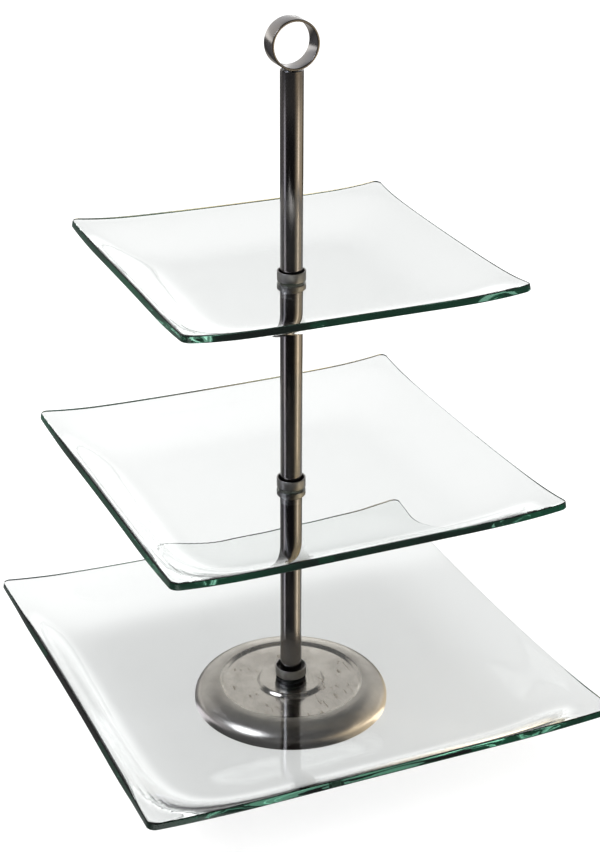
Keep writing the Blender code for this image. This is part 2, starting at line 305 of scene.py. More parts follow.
class Finish:
    """A surface finish. A subclass sets its slot and fills its net."""

    slot: Slot

    def fill(self, net: Net) -> None:
        """Build the finish's nodes."""
        raise NotImplementedError

    def material(self) -> bpy.types.Material:
        """Make the finish's material at its first use.

        Returns:
            The material, the same one at each call.
        """
        name = type(self).__name__
        found = bpy.data.materials.get(name)
        if found:
            return found
        made = bpy.data.materials.new(name)
        self.fill(Net(made))
        return made


@dataclass(frozen=True)
class SlumpedGlass(Finish):
    """Clear soda-lime glass, slumped in a mould, with a green depth and a painted green glow on
    its cut edges.
    """

    slot = Slot.GLASS
    index: float = 1.52
    tint: Colour = (0.997, 0.998, 0.997)
    hazed: Colour = (0.982045, 0.98303, 0.982045)
    haze_roughness: float = 0.003
    ripple_height: float = 0.0006
    depth_colour: Colour = (0.05, 0.62, 0.40)
    depth_density: float = 5.0
    edge_glow_dim: Colour = (0.001, 0.006, 0.004)
    edge_glow_bright: Colour = (0.001, 0.036, 0.018)

    def fill(self, net: Net) -> None:
        """Ripple the surface slightly, leave a faint bloom of wiped haze and paint a glow on the
        cut edges.

        Args:
            net: The net to fill.
        """
        place = net.place()
        ripple = net.noise(place, 22.0, 1.0, 0.4)
        haze = net.noise(place, 35.0, 4.0, 0.6).step(0.52, 0.78)
        # Painted light: the cut edge faces glow faintly dark green by emission, standing in for
        # light carried along inside the glass.
        edge = net.wire("ShaderNodeAttribute", {"attribute_name": EDGE}, None, "Fac")
        run = net.noise(place, 14.0, 2.0).step(0.35, 0.65)
        glow = net.blend(run, self.edge_glow_dim, self.edge_glow_bright)
        values = {"Color": (*self.depth_colour, 1.0), "Density": self.depth_density}
        depth = net.wire("ShaderNodeVolumeAbsorption", None, values)
        net.surface(
            {
                "Base Color": net.blend(haze, self.tint, self.hazed),
                "Roughness": haze * self.haze_roughness,
                "IOR": self.index,
                "Transmission Weight": 1.0,
                "Emission Color": net.blend(edge, (0.0, 0.0, 0.0), glow),
                "Emission Strength": 1.0,
                "Normal": net.bump(ripple, self.ripple_height, 0.25),
            },
            {"distribution": "GGX"},
            depth,
        )


@dataclass(frozen=True)
class Gunmetal(Finish):
    """Black-nickel plate over steel that was brushed along its length."""

    slot = Slot.GUNMETAL
    colour: Colour = (0.30, 0.29, 0.29)
    worn: Colour = (0.35, 0.325, 0.30)
    roughness: float = 0.15

    def fill(self, net: Net) -> None:
        """Draw fine hairlines along Z and mottle the plate softly.

        Args:
            net: The net to fill.
        """
        hairs = net.noise(net.place((1.0, 1.0, 0.02)), 2600.0, 3.0, 0.6)
        drift = net.noise(net.place((1.0, 1.0, 0.25)), 110.0, 3.0)
        spots = net.noise(net.place(), 900.0, 2.0).step(0.66, 0.74)
        colour = net.blend(drift.step(0.35, 0.7), self.colour, self.worn)
        rough = self.roughness + hairs * 0.06 + drift * 0.05 + spots * 0.03
        net.coat(colour, rough, net.bump(hairs, 0.00001, 0.15), metallic=1.0)


@dataclass(frozen=True)
class BlastedNickel(Finish):
    """Turned nickel-plated collars with a bead-blasted skin."""

    slot = Slot.BLASTED
    colour: Colour = (0.44, 0.43, 0.405)
    dark: Colour = (0.36, 0.35, 0.335)
    roughness: float = 0.34

    def fill(self, net: Net) -> None:
        """Cover the metal with a fine grain and faint turning rings.

        Args:
            net: The net to fill.
        """
        grain = net.noise(net.place(), 2400.0, 2.0, 0.6)
        cloud = net.noise(net.place(), 260.0, 3.0)
        rings = net.noise(net.place((0.02, 0.02, 1.0)), 3200.0, 2.0)
        colour = net.blend(cloud.step(0.35, 0.7), self.colour, self.dark)
        rough = self.roughness + grain * 0.10 + cloud * 0.05
        net.coat(colour, rough, net.bump(grain * 0.8 + rings * 0.2, 0.00003, 0.45), metallic=1.0)


@dataclass(frozen=True)
class SatinNickel(Finish):
    """Satin nickel plate on the spun base, with rubbed marks on its flat."""

    slot = Slot.SATIN
    colour: Colour = (0.72, 0.665, 0.60)
    rubbed: Colour = (0.58, 0.53, 0.475)
    scuffed: Colour = (0.50, 0.43, 0.35)
    flat_roughness: float = 0.11
    dome_roughness: float = 0.28
    flat_r: float = 0.0425
    shoulder: float = 0.0030
    dome_wear: float = 0.15

    def fill(self, net: Net) -> None:
        """Run the polishing lines round the axis and scatter faint scuffs over them.

        Args:
            net: The net to fill.
        """
        radius, angle, height = net.polar()
        lines = net.noise(net.combine(radius * 60.0, angle * 0.15, height * 60.0), 60.0, 3.0, 0.6)
        scuffs = net.noise(net.place((1.0, 0.22, 1.0), (0.0, 0.0, 0.6)), 480.0, 4.0, 0.7)
        cloud = net.noise(net.place(), 55.0, 4.0, 0.6)
        dome = radius.step(self.flat_r, self.flat_r + self.shoulder)
        worn = 1.0 - dome * (1.0 - self.dome_wear)
        marks = scuffs.step(0.54, 0.68) * cloud.step(0.42, 0.55) * worn
        plate = net.blend(cloud.step(0.3, 0.7), self.colour, self.rubbed)
        satin = self.flat_roughness + dome * (self.dome_roughness - self.flat_roughness)
        colour = net.blend(marks, plate, self.scuffed)
        rough = satin + lines * 0.04 + marks * 0.18 + cloud * 0.05
        net.coat(colour, rough, net.bump(lines, 0.00001, 0.35), metallic=1.0)


@dataclass(frozen=True)
class ZincPlate(Finish):
    """Bright zinc on the studs, nut and washers."""

    slot = Slot.ZINC
    colour: Colour = (0.66, 0.67, 0.68)
    clouded: Colour = (0.52, 0.54, 0.57)

    def fill(self, net: Net) -> None:
        """Mottle the plate with its crystal spangle.

        Args:
            net: The net to fill.
        """
        spangle = {"Vector": net.place(), "Scale": 700.0}
        cells = net.wire("ShaderNodeTexVoronoi", None, spangle, "Color")
        grain = net.noise(net.place(), 1500.0, 2.0)
        colour = net.blend(grain.step(0.3, 0.7), self.colour, self.clouded)
        rough = 0.24 + net.axes(cells)[0] * 0.12
        net.coat(colour, rough, net.bump(grain, 0.00002, 0.4), metallic=1.0)


@dataclass(frozen=True)
class CastIron(Finish):
    """Black-painted cast iron, pitted by its mould."""

    slot = Slot.IRON
    colour: Colour = (0.030, 0.030, 0.032)
    rubbed: Colour = (0.085, 0.082, 0.080)

    def fill(self, net: Net) -> None:
        """Pit the casting and rub its high grains lighter.

        Args:
            net: The net to fill.
        """
        grains = net.noise(net.place(), 700.0, 4.0, 0.65)
        pits = net.noise(net.place(), 180.0, 3.0).step(0.60, 0.72)
        colour = net.blend(grains.step(0.5, 0.75), self.colour, self.rubbed)
        rough = 0.62 + grains * 0.2
        net.coat(colour, rough, net.bump(grains * 0.6 - pits * 0.8, 0.0002, 0.6), metallic=0.3)


@dataclass(frozen=True)
class Felt(Finish):
    """Pressed black felt."""

    slot = Slot.FELT
    colour: Colour = (0.016, 0.016, 0.018)
    lint: Colour = (0.060, 0.060, 0.062)

    def fill(self, net: Net) -> None:
        """Tangle two directions of short fibres.

        Args:
            net: The net to fill.
        """
        across = net.noise(net.place((1.0, 0.15, 1.0), (0.0, 0.0, 0.5)), 1600.0, 3.0, 0.7)
        along = net.noise(net.place((0.15, 1.0, 1.0), (0.0, 0.0, 0.9)), 1600.0, 3.0, 0.7)
        fibres = (across + along) * 0.5
        colour = net.blend(fibres.step(0.48, 0.66), self.colour, self.lint)
        rough = 0.9 + fibres * 0.1
        net.coat(colour, rough, net.bump(fibres, 0.0002, 0.7), sheen_weight=0.5)


@dataclass(frozen=True)
class Rubber(Finish):
    """Moulded black rubber."""

    slot = Slot.RUBBER
    colour: Colour = (0.020, 0.020, 0.021)
    bloom: Colour = (0.045, 0.045, 0.048)

    def fill(self, net: Net) -> None:
        """Grain the rubber and dull it with a little bloom.

        Args:
            net: The net to fill.
        """
        grain = net.noise(net.place(), 1800.0, 2.0)
        bloom = net.noise(net.place(), 220.0, 3.0).step(0.4, 0.75)
        colour = net.blend(bloom, self.colour, self.bloom)
        rough = 0.45 + bloom * 0.2 + grain * 0.1
        net.coat(colour, rough, net.bump(grain, 0.00004, 0.5))


@dataclass(frozen=True)
class Nylon(Finish):
    """Milky moulded nylon of the bushes and soft washers."""

    slot = Slot.NYLON
    colour: Colour = (0.55, 0.54, 0.50)
    flow: Colour = (0.46, 0.45, 0.41)

    def fill(self, net: Net) -> None:
        """Cloud the plastic with flow marks round the moulding.

        Args:
            net: The net to fill.
        """
        radius, angle, height = net.polar()
        swirl = net.noise(net.combine(radius * 300.0, angle, height * 300.0), 3.0, 3.0)
        grain = net.noise(net.place(), 1900.0, 2.0)
        colour = net.blend(swirl.step(0.35, 0.7), self.colour, self.flow)
        rough = 0.38 + grain * 0.14
        net.coat(colour, rough, net.bump(grain, 0.00003, 0.4))


# -------- modelling moves


def clear_selection() -> None:
    """Leave edit mode and deselect everything."""
    if bpy.context.mode != "OBJECT":
        bpy.ops.object.mode_set(mode="OBJECT")
    bpy.ops.object.select_all(action="DESELECT")


def take(piece: Piece) -> None:
    """Select one object alone and make it active.

    Args:
        piece: The object.
    """
    clear_selection()
    piece.select_set(True)
    bpy.context.view_layer.objects.active = piece


def settle(name: str) -> Piece:
    """Leave edit mode, name the active piece and put its place into its mesh.

    Args:
        name: The piece's name.

    Returns:
        The piece, whose object is now at the origin.
    """
    bpy.ops.object.mode_set(mode="OBJECT")
    piece = bpy.context.object
    piece.name = name
    piece.data.name = name
    take(piece)
    bpy.ops.object.transform_apply(location=True, rotation=True, scale=True)
    return piece


def modify(piece: Piece, kind: str, **settings: Any) -> None:
    """Add a modifier and apply it.

    Args:
        piece: The piece.
        kind: The modifier's type.
        **settings: Its settings.
    """
    take(piece)
    bpy.ops.object.modifier_add(type=kind)
    modifier = piece.modifiers[-1]
    for key, value in settings.items():
        setattr(modifier, key, value)
    bpy.ops.object.modifier_apply(modifier=modifier.name)


def soften(piece: Piece, width: float, segments: int = 3, angle: float = 40.0) -> None:
    """Round a piece's corners and shade the rest smooth.

    Args:
        piece: The piece.
        width: The bevel's width.
        segments: The faces across the bevel.
        angle: The least angle of an edge that is rounded, in degrees.
    """
    rounding = {"width": width, "segments": segments, "angle_limit": math.radians(angle)}
    modify(piece, "BEVEL", limit_method="ANGLE", use_clamp_overlap=True, **rounding)
    take(piece)
    bpy.ops.object.shade_smooth_by_angle(angle=SMOOTH_ANGLE)


def select_ring(radius: float, height: float) -> None:
    """Add one ring of vertices to the selection in edit mode.

    Args:
        radius: The ring's radius.
        height: Its height.
    """
    mesh = bmesh.from_edit_mesh(bpy.context.object.data)
    origin = bpy.context.object.location.z
    for vertex in mesh.verts:
        away = abs(math.hypot(vertex.co.x, vertex.co.y) - radius)
        if away < SAME and abs(vertex.co.z + origin - height) < SAME:
            vertex.select = True
    mesh.select_flush(True)
    bmesh.update_edit_mesh(bpy.context.object.data)


def turned(name: str, section: Section, steps: int = 96, closed: bool = True) -> Piece:
    """Raise a turned solid from a circle, extruded and resized ring by ring.

    Args:
        name: The piece's name.
        section: The (radius, height) points, in order along the section.
        steps: The facets round the axis.
        closed: True for a ring, False for a solid whose two ends are filled.

    Returns:
        The piece, with its normals outward.
    """
    clear_selection()
    radius, height = section[0]
    bpy.ops.mesh.primitive_circle_add(
        vertices=steps, radius=radius, location=(0.0, 0.0, height), enter_editmode=True
    )
    bpy.ops.mesh.select_all(action="SELECT")
    if not closed:
        bpy.ops.mesh.edge_face_add()
        bpy.ops.mesh.select_all(action="SELECT")
        bpy.ops.mesh.duplicate()
        bpy.ops.mesh.delete(type="ONLY_FACE")
        select_ring(radius, height)
    for (r0, z0), (r1, z1) in zip(section, section[1:]):
        bpy.ops.mesh.extrude_edges_move(TRANSFORM_OT_translate={"value": (0.0, 0.0, z1 - z0)})
        share = r1 / r0
        bpy.ops.transform.resize(value=(share, share, 1.0), center_override=(0.0, 0.0, z1))
    if closed:
        select_ring(*section[0])
        bpy.ops.mesh.bridge_edge_loops()
    else:
        bpy.ops.mesh.edge_face_add()
    bpy.ops.mesh.select_all(action="SELECT")
    bpy.ops.mesh.remove_doubles(threshold=SAME)
    bpy.ops.mesh.normals_make_consistent(inside=False)
    return settle(name)


def washer_section(inner: float, outer: float, low: float, high: float) -> Section:
    """Return the corners of a plain ring's section."""
    return [(outer, low), (outer, high), (inner, high), (inner, low)]


def arc(
    centre: tuple[float, float], reach: tuple[float, float], start: float, end: float, count: int
) -> Section:
    """Return points along an elliptical arc in a section.

    Args:
        centre: The arc's centre, as (radius, height).
        reach: The half sizes along the radius and the height.
        start: The first point's angle.
        end: The last point's angle.
        count: The steps between them.

    Returns:
        The points, both ends included.
    """
    (r, z), (dr, dz) = centre, reach
    turns = [start + (end - start) * i / count for i in range(count + 1)]
    return [(r + dr * math.cos(turn), z + dz * math.sin(turn)) for turn in turns]


def span(node: str) -> tuple[float, float, float]:
    """Return a turned node's outer radius and its lowest and highest Z."""
    low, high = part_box(node)
    return (high.y - low.y) / 2, low.z, high.z


def fit(piece: Piece, finish: Finish, body: str, node: str) -> None:
    """Dress a finished piece, ride it on its body and let it stand for its node.

    Args:
        piece: The piece, in its place.
        finish: What it is made of.
        body: The body that it moves with.
        node: The node that it stands for.
    """
    piece.data.materials.clear()
    piece.data.materials.append(finish.material())
    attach(piece, body)
    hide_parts(node)
    log.info("%s: %d faces, %s", piece.name, len(piece.data.polygons), type(finish).__name__)


def turn_piece(
    name: str,
    node: str,
    shape: Union[Section, float],
    finish: Finish,
    edge: float,
    segments: int = 3,
    steps: int = 96,
    angle: float = 40.0,
    body: str = "column",
) -> None:
    """Turn a piece, round its edges and dress it.

    Args:
        name: The piece's name.
        node: The node that it stands for.
        shape: Its section, or the inner radius of a plain ring of the node's size.
        finish: What it is made of.
        edge: The width of its rounded edges.
        segments: The faces across each of them.
        steps: The facets round the axis.
        angle: As for soften.
        body: The body that it moves with.
    """
    section = washer_section(shape, *span(node)) if isinstance(shape, float) else shape
    piece = turned(name, section, steps)
    soften(piece, edge, segments, angle)
    fit(piece, finish, body, node)


# -------- glass plates


@dataclass
class GlassPlate:
    """One square glass plate, slumped so that its sides and corners rise."""

    tier: Tier
    half: float
    edge_lift: float
    corner_lift: float
    edge_bow: float
    turn: float
    thickness: float = 0.0040
    hole_r: float = 0.0050
    arris: float = 0.0006
    corner_r: float = 0.0045
    rim_width: float = 0.0550
    rim_power: float = 4.0
    squareness: float = 7.0
    edge_points: int = 22
    corner_points: int = 10
    rings: int = 38
    edge_tilt: float = 0.5

    def quarter(self) -> Section:
        """Trace the outline from one mid-edge round a corner to the next.

        Returns:
            The points, with only the first of the two mid-edges.
        """
        reach = self.half - self.corner_r
        run = []
        for i in range(self.edge_points):
            along = reach * i / self.edge_points
            run.append((self.half - self.edge_bow * (1 - (along / reach) ** 2), along))
        round_r, count = (self.corner_r, self.corner_r), self.corner_points
        corner = arc((reach, reach), round_r, 0.0, 0.5 * math.pi, count)
        return run + corner + [(y, x) for x, y in reversed(run[1:])]

    def outline(self) -> Section:
        """Trace the whole outline.

        Returns:
            The points, counterclockwise.
        """
        points = []
        for c, s in ((1, 0), (0, 1), (-1, 0), (0, -1)):
            points += [(c * x - s * y, s * x + c * y) for x, y in self.quarter()]
        return points

    def rise(self, x: float, y: float) -> float:
        """Work out how far the glass stands above its flat middle at a point.

        Args:
            x: The point's place across the plate.
            y: Its place along the plate.

        Returns:
            The height.
        """
        power = self.squareness
        reach = ((abs(x) / self.half) ** power + (abs(y) / self.half) ** power) ** (1 / power)
        slope = (self.corner_lift - self.edge_lift) / (2 ** (1 / power) - 1)
        if reach >= 1:
            return self.edge_lift + slope * (reach - 1)
        width = self.rim_width / self.half
        climb = max(0.0, 1 - (1 - reach) / width)
        swell = self.rim_power - slope * width / self.edge_lift
        return self.edge_lift * climb**self.rim_power * (1 + swell * (1 - climb))

    def slump(self, piece: Piece) -> None:
        """Move a flat disc of evenly spaced rings onto the plate's mould.

        Args:
            piece: The disc, whose rings lie at radius 1, 2, 3 and so on.
        """
        outline = self.outline()
        lanes = len(outline)
        hole = self.hole_r / self.half
        for vertex in piece.data.vertices:
            ring = round(math.hypot(vertex.co.x, vertex.co.y)) - 1
            lane = round(math.atan2(vertex.co.y, vertex.co.x) * lanes / (2 * math.pi)) % lanes
            along = ring / self.rings
            share = hole + (1 - hole) * along
            x, y = outline[lane]
            angle = math.atan2(y, x)
            px = share * ((1 - along) * self.half * math.cos(angle) + along * x)
            py = share * ((1 - along) * self.half * math.sin(angle) + along * y)
            vertex.co = (px, py, self.rise(px, py))

    def build(self) -> None:
        """Cut, slump and polish the plate."""
        node = f"glass_plate_{self.tier.value}"
        clear_selection()
        bpy.ops.mesh.primitive_circle_add(
            vertices=len(self.outline()), radius=1.0, enter_editmode=True
        )
        bpy.ops.mesh.select_all(action="SELECT")
        for ring in range(self.rings):
            bpy.ops.mesh.extrude_edges_move()
            share = (ring + 2) / (ring + 1)
            bpy.ops.transform.resize(value=(share, share, 1.0), center_override=(0, 0, 0))
        bpy.ops.mesh.select_all(action="SELECT")
        bpy.ops.mesh.normals_make_consistent(inside=False)
        bpy.ops.object.mode_set(mode="OBJECT")
        piece = bpy.context.object
        self.slump(piece)
        if piece.data.polygons[0].normal.z < 0:
            piece.data.flip_normals()
        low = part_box(node)[0]
        piece.rotation_euler.z = self.turn
        piece.location.z = low.z + self.thickness
        piece = settle(f"plate_{self.tier.value}")
        modify(piece, "SOLIDIFY", thickness=self.thickness, offset=-1.0, use_even_offset=True)
        soften(piece, self.arris, angle=60.0)
        edge = piece.data.attributes.new(EDGE, "FLOAT", "FACE")
        for face in piece.data.polygons:
            edge.data[face.index].value = 1.0 if abs(face.normal.z) < self.edge_tilt else 0.0
        fit(piece, SlumpedGlass(), self.tier.body, node)


# -------- column


@dataclass
class Tube:
    """One length of the column, with a threaded insert at each end."""

    node: str
    wall: float = 0.0010
    edge: float = 0.00025
    insert_edge: float = 0.0003

    def build(self) -> None:
        """Turn the tube and its inserts, and break their ends."""
        inner = span(self.node)[0] - self.wall
        turn_piece(f"column_{self.node}", self.node, inner, Gunmetal(), self.edge)
        for end in ("lower", "upper"):
            node = f"{self.node}_{end}_insert"
            edge = self.insert_edge
            turn_piece(f"threaded_{node}", node, BORE_R, ZincPlate(), edge, 2, 32)


@dataclass
class Joint:
    """What clamps one plate: a cup collar above, a ferrule below and soft washers."""

    tier: Tier
    collar_wall: float = 0.0009
    seat_z: float = 0.0010
    recess_depth: float = 0.0009
    edge: float = 0.00022
    ferrule_chamfer: float = 0.0011
    nylon_edge: float = 0.00012

    def collar(self) -> None:
        """Turn the cup that the tube stands in."""
        node = f"collar_{self.tier.value}"
        radius, low, high = span(node)
        washer_r = span(f"upper_washer_{self.tier.value}")[0]
        recess = low + self.recess_depth
        seat = recess + self.seat_z
        wall_r, room_r = radius - self.collar_wall, washer_r + GAP
        section = [(radius, low), (radius, high), (wall_r, high), (wall_r, seat)]
        section += [(BORE_R, seat), (BORE_R, recess), (room_r, recess), (room_r, low)]
        turn_piece(f"cup_{node}", node, section, BlastedNickel(), self.edge)

    def ferrule(self, tube_r: float) -> None:
        """Turn the chamfered ferrule under the plate.

        Args:
            tube_r: The outer radius of the tube that stands in it.
        """
        node = f"ferrule_{self.tier.value}"
        radius, low, high = span(node)
        washer_r = span(f"lower_washer_{self.tier.value}")[0]
        recess = high - self.recess_depth
        seat = recess - self.seat_z
        room_r, socket_r, cut = washer_r + GAP, tube_r + GAP, self.ferrule_chamfer
        section = [(radius - cut, low), (radius, low + cut), (radius, high), (room_r, high)]
        section += [(room_r, recess), (BORE_R, recess), (BORE_R, seat)]
        section += [(socket_r, seat), (socket_r, low)]
        turn_piece(f"turned_{node}", node, section, BlastedNickel(), self.edge, angle=30.0)

    def soft_ring(self, node: str, body: str) -> None:
        """Mould one nylon washer or bush."""
        edge = self.nylon_edge
        turn_piece(f"nylon_{node}", node, BORE_R, Nylon(), edge, 2, 48, body=body)

    def build(self) -> None:
        """Build the joint's pieces."""
        name = self.tier.value
        self.collar()
        self.soft_ring(f"upper_washer_{name}", "column")
        self.soft_ring(f"bush_{name}", self.tier.body)
        if self.tier is not Tier.BOTTOM:
            self.soft_ring(f"lower_washer_{name}", "column")
            self.ferrule(span("middle_tube")[0])


@dataclass
class Stud:
    """A threaded stud with chamfered ends."""

    node: str
    pitch: float = 0.0010
    depth: float = 0.00055
    end: float = 0.0006
    steps: int = 24
    rings_per_pitch: int = 6

    def thread(self, piece: Piece, low: float, high: float) -> None:
        """Cut a helical thread into a rod of evenly spaced rings.

        Args:
            piece: The rod.
            low: The rod's lowest Z.
            high: The rod's highest Z.
        """
        for vertex in piece.data.vertices:
            x, y, z = vertex.co
            if math.hypot(x, y) < 0.5 * STUD_R:
                continue
            turn = (z / self.pitch - math.atan2(y, x) / (2 * math.pi)) % 1.0
            cut = self.depth * min(1.0, 1.5 * abs(2 * turn - 1))
            end = max(0.0, self.end - min(z - low, high - z))
            radius = STUD_R - max(cut, end)
            share = radius / math.hypot(x, y)
            vertex.co = (x * share, y * share, z)

    def build(self) -> None:
        """Turn and thread the stud."""
        _, low, high = span(self.node)
        count = round((high - low) / self.pitch * self.rings_per_pitch)
        section = [(STUD_R, low + (high - low) * i / count) for i in range(count + 1)]
        piece = turned(f"threaded_{self.node}", section, self.steps, closed=False)
        self.thread(piece, low, high)
        take(piece)
        bpy.ops.object.shade_smooth_by_angle(angle=SMOOTH_ANGLE)
        fit(piece, ZincPlate(), "column", self.node)


# -------- base


@dataclass
class Base:
    """The spun base: a domed rim, a step, a flat and a boss, with its weight and nut."""

    sheet: float = 0.0012
    rim_lift: float = 0.0008
    rim_roll: float = 0.0022
    dome_width: float = 0.0145
    crest_z: float = 0.0134
    step_width: float = 0.0040
    step_depth: float = 0.0014
    boss_foot_r: float = 0.0215
    boss_slope: float = 0.0025
    boss_corner: float = 0.0004
    flat_corner: float = 0.0005
    crest_run: float = 0.0012
    shell_edge: float = 0.00025
    weight_chamfer: float = 0.0010
    weight_edge: float = 0.0004
    bore_depth: float = 0.0050
    bore_room: float = 0.0015
    pad_room: float = 0.0040
    washer_edge: float = 0.0002
    soft_edge: float = 0.0003
    nut_edge: float = 0.00012
    nut_chamfer: float = 0.6  # as a share of the corners' height over the flats

    def upper_section(self) -> Section:
        """Trace the shell's upper side.

        Returns:
            The points, from the stud hole out to the rim.
        """
        radius, _, boss_z = span("base_shell")
        crest_r = radius - self.dome_width
        step_r = crest_r - self.step_width
        flat_z = self.crest_z - self.step_depth
        boss_top_r = self.boss_foot_r - self.boss_slope
        rim_z = self.rim_lift + self.rim_roll
        section = [(BORE_R, boss_z), (boss_top_r - self.boss_corner, boss_z)]
        section += self.ease((boss_top_r, boss_z), (self.boss_foot_r, flat_z), 7)
        room = self.flat_corner
        section += [(self.boss_foot_r + room, flat_z), (step_r - room, flat_z)]
        section += self.ease((step_r, flat_z), (crest_r - self.crest_run, self.crest_z), 8)
        reach = (self.dome_width, self.crest_z - rim_z)
        dome = arc((crest_r, rim_z), reach, 0.5 * math.pi, 0.0, 22)
        return section + dome + [(radius, self.rim_lift)]

    @staticmethod
    def ease(start: tuple[float, float], end: tuple[float, float], count: int) -> Section:
        """Trace an S-shaped run in a section.

        Args:
            start: The first point.
            end: The last point.
            count: The steps between them.

        Returns:
            The points, both ends included.
        """
        (r0, z0), (r1, z1) = start, end
        shares = [i / count for i in range(count + 1)]
        return [(r0 + (r1 - r0) * s, z0 + (z1 - z0) * (s * s * (3 - 2 * s))) for s in shares]

    def shell(self) -> None:
        """Spin the shell in sheet of one thickness."""
        upper = self.upper_section()
        lower = []
        for i, (r, z) in enumerate(upper):
            r0, z0 = upper[max(i - 1, 0)]
            r1, z1 = upper[min(i + 1, len(upper) - 1)]
            along = Vector((r1 - r0, z1 - z0)).normalized()
            lower.append((r + self.sheet * along.y, z - self.sheet * along.x))
        lower[0] = (upper[0][0], upper[0][1] - self.sheet)
        lower[-1] = (upper[-1][0] - self.sheet, self.rim_lift)
        section, edge = upper + lower[::-1], self.shell_edge
        turn_piece("spun_base_shell", "base_shell", section, SatinNickel(), edge, 3, 160, 50.0)

    def weight(self) -> None:
        """Cast the disc that keeps the stand upright."""
        radius, low, high = span("base_weight")
        bore_r = span("base_clamp_washer")[0] + self.bore_room
        bore_z = low + self.bore_depth
        cut = self.weight_chamfer
        section = [(radius, low), (radius, high - cut), (radius - cut, high), (BORE_R, high)]
        section += [(BORE_R, bore_z), (bore_r, bore_z), (bore_r, low)]
        turn_piece("cast_base_weight", "base_weight", section, CastIron(), self.weight_edge)

    def pad(self) -> None:
        """Cut the felt ring that the stand rests on."""
        inner = span("base_clamp_washer")[0] + self.pad_room
        turn_piece("felt_base_pad", "base_pad", inner, Felt(), self.soft_edge)

    def washers(self) -> None:
        """Make the steel washer under the weight and the rubber one under the glass."""
        zinc, edge = ZincPlate(), self.washer_edge
        turn_piece("clamp_washer", "base_clamp_washer", BORE_R, zinc, edge, steps=64)
        turn_piece("rubber_seat_washer", "base_seat_washer", BORE_R, Rubber(), self.soft_edge)

    def nut(self) -> None:
        """Forge the hexagon nut, with its corners turned back."""
        low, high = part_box("base_nut")
        flats = min(high.x - low.x, high.y - low.y) / 2
        corner_r = flats / math.cos(math.pi / 6)
        cut = (corner_r - flats) * self.nut_chamfer
        section = [(flats, low.z), (corner_r, low.z + cut), (corner_r, high.z - cut)]
        section += [(flats, high.z), (BORE_R, high.z), (BORE_R, low.z)]
        piece = turned("hexagon_base_nut", section)
        for turn in range(6):
            angle = math.radians(60 * turn)
            out = Vector((math.cos(angle), math.sin(angle), 0.0))
            take(piece)
            bpy.ops.object.mode_set(mode="EDIT")
            bpy.ops.mesh.select_all(action="SELECT")
            bpy.ops.mesh.bisect(
                plane_co=out * flats, plane_no=out, use_fill=True, clear_outer=True
            )
            bpy.ops.object.mode_set(mode="OBJECT")
        soften(piece, self.nut_edge, 2, 25.0)
        fit(piece, ZincPlate(), "column", "base_nut")

    def build(self) -> None:
        """Build the base's pieces."""
        self.shell()
        self.weight()
        self.pad()
        self.washers()
        self.nut()


# -------- handle


@dataclass
class Handle:
    """The ring that screws into the top tube."""

    wall: float = 0.0014
    edge: float = 0.00035

    def build(self) -> None:
        """Turn the ring about its own axis, which lies along Y, and stand it up."""
        low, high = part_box("handle_ring")
        centre = (low + high) / 2
        radius = (high.x - low.x) / 2
        width = high.y - low.y
        section = washer_section(radius - self.wall, radius, -width / 2, width / 2)
        piece = turned("ring_handle", section, 128)
        soften(piece, self.edge)
        take(piece)
        piece.rotation_euler.x = math.pi / 2
        piece.location = centre
        bpy.ops.object.transform_apply(location=True, rotation=True, scale=True)
        fit(piece, Gunmetal(), "column", "handle_ring")


# -------- the stand


@dataclass
class CakeStand:
    """The whole stand."""

    plates: tuple[GlassPlate, ...] = (
        GlassPlate(Tier.BOTTOM, 0.1437, 0.0209, 0.0239, 0.0033, math.radians(0.9)),
        GlassPlate(Tier.MIDDLE, 0.1187, 0.0181, 0.0211, 0.0017, math.radians(1.0)),
        GlassPlate(Tier.TOP, 0.0995, 0.0158, 0.0186, 0.0013, 0.0),
    )

    def build(self) -> None:
        """Build every piece, from the floor up."""
        Base().build()
        for plate in self.plates:
            plate.build()
            Joint(plate.tier).build()
            Stud(f"stud_{plate.tier.value}").build()
        for node in ("lower_tube", "middle_tube", "upper_tube"):
            Tube(node).build()
        Handle().build()
        Stud("handle_stud").build()


# -------- studio


